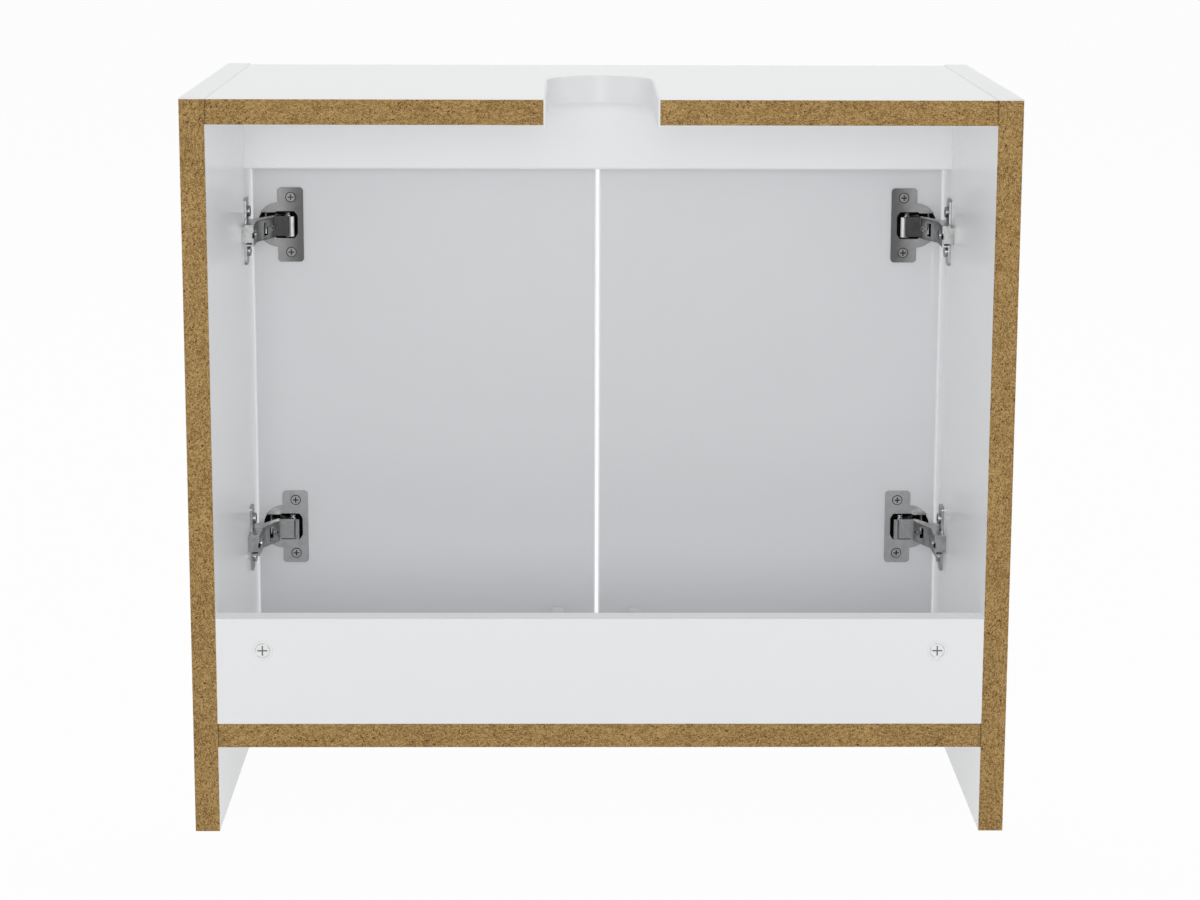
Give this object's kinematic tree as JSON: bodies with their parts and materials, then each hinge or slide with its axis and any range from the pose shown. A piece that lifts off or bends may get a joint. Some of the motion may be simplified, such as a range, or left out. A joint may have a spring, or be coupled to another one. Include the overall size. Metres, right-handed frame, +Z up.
{
  "type": "sink base cabinet",
  "caption": "Shallow white base cabinet for a washbasin, with inset doors on concealed cup hinges, an open back and a U-shaped cut-out in its top for the waste.",
  "frame": {"origin": "middle of the base, on the floor", "axes": "+Z up, the doors face -Y, the open back faces +Y, +X is the right-hand side seen from the front"},
  "size_m": [0.6, 0.3, 0.545],
  "materials": {
    "white_board": "chipboard faced with satin white melamine, raw on its back edges",
    "white_edge_band": "satin white edge band",
    "cutout_strip": "satin white strip",
    "door_stop": "satin white",
    "dowel_wood": "plain beech",
    "cam_metal": "plated, with a white face",
    "bolt_steel": "zinc plated",
    "hinge_nickel": "nickel plated, finely brushed",
    "hinge_link": "bright nickel plate",
    "pin_steel": "bright steel",
    "screw_steel": "nickel plated"
  },
  "bodies": {
    "cabinet": {"arm_pins": "pin_steel", "arm_screws": "screw_steel", "back_rail_edge_band": "white_edge_band", "bottom_edge_band": "white_edge_band", "bottom_panel": "white_board", "cam_bolts": "bolt_steel", "cam_locks": "cam_metal", "cutout_edge_strip": "cutout_strip", "front_rail_edge_band": "white_edge_band", "front_top_rail": "white_board", "left_door_stop": "door_stop", "left_lower_hinge_arm": "hinge_nickel", "left_lower_mounting_plate": "hinge_nickel", "left_side_edge_bands": "white_edge_band", "left_side_panel": "white_board", "left_upper_hinge_arm": "hinge_nickel", "left_upper_mounting_plate": "hinge_nickel", "lower_back_rail": "white_board", "plate_screws": "screw_steel", "right_door_stop": "door_stop", "right_lower_hinge_arm": "hinge_nickel", "right_lower_mounting_plate": "hinge_nickel", "right_side_edge_bands": "white_edge_band", "right_side_panel": "white_board", "right_upper_hinge_arm": "hinge_nickel", "right_upper_mounting_plate": "hinge_nickel", "top_edge_band": "white_edge_band", "top_panel": "white_board", "wood_dowels": "dowel_wood"},
    "left_outer_links": {"left_lower_outer_link": "hinge_link", "left_upper_outer_link": "hinge_link"},
    "left_inner_links": {"left_lower_inner_link": "hinge_link", "left_upper_inner_link": "hinge_link"},
    "left_door": {"left_door_panel": "white_board", "left_door_edge_bands": "white_edge_band", "left_cup_pins": "pin_steel", "left_cup_screws": "screw_steel", "left_lower_hinge_cup": "hinge_nickel", "left_upper_hinge_cup": "hinge_nickel"},
    "right_outer_links": {"right_lower_outer_link": "hinge_link", "right_upper_outer_link": "hinge_link"},
    "right_inner_links": {"right_lower_inner_link": "hinge_link", "right_upper_inner_link": "hinge_link"},
    "right_door": {"right_door_panel": "white_board", "right_door_edge_bands": "white_edge_band", "right_cup_pins": "pin_steel", "right_cup_screws": "screw_steel", "right_lower_hinge_cup": "hinge_nickel", "right_upper_hinge_cup": "hinge_nickel"}
  },
  "joints": [
    {"name": "left_door_swing", "type": "hinge", "parent": "cabinet", "child": "left_outer_links", "pos_m": [-0.2608, -0.137, 0.29], "axis": [0, 0, -1], "range_deg": [0, 138]},
    {"name": "left_door_turn", "type": "hinge", "parent": "left_outer_links", "child": "left_door", "pos_m": [-0.2514, -0.1275, 0.29], "axis": [0, 0, -1], "range_deg": [-43.4, 0]},
    {"name": "left_inner_link_swing", "type": "hinge", "parent": "cabinet", "child": "left_inner_links", "pos_m": [-0.2558, -0.1364, 0.29], "axis": [0, 0, -1], "range_deg": [0, 21.5]},
    {"name": "right_door_swing", "type": "hinge", "parent": "cabinet", "child": "right_outer_links", "pos_m": [0.2608, -0.137, 0.29], "axis": [0, 0, 1], "range_deg": [0, 138]},
    {"name": "right_door_turn", "type": "hinge", "parent": "right_outer_links", "child": "right_door", "pos_m": [0.2514, -0.1275, 0.29], "axis": [0, 0, 1], "range_deg": [-43.4, 0]},
    {"name": "right_inner_link_swing", "type": "hinge", "parent": "cabinet", "child": "right_inner_links", "pos_m": [0.2558, -0.1364, 0.29], "axis": [0, 0, 1], "range_deg": [0, 21.5]}
  ],
  "couplings": [
    {"joint": "left_door_turn", "follows": "left_door_swing", "ratio": -0.314},
    {"joint": "left_inner_link_swing", "follows": "left_door_swing", "ratio": 0.155},
    {"joint": "right_door_turn", "follows": "right_door_swing", "ratio": -0.314},
    {"joint": "right_inner_link_swing", "follows": "right_door_swing", "ratio": 0.155}
  ]
}
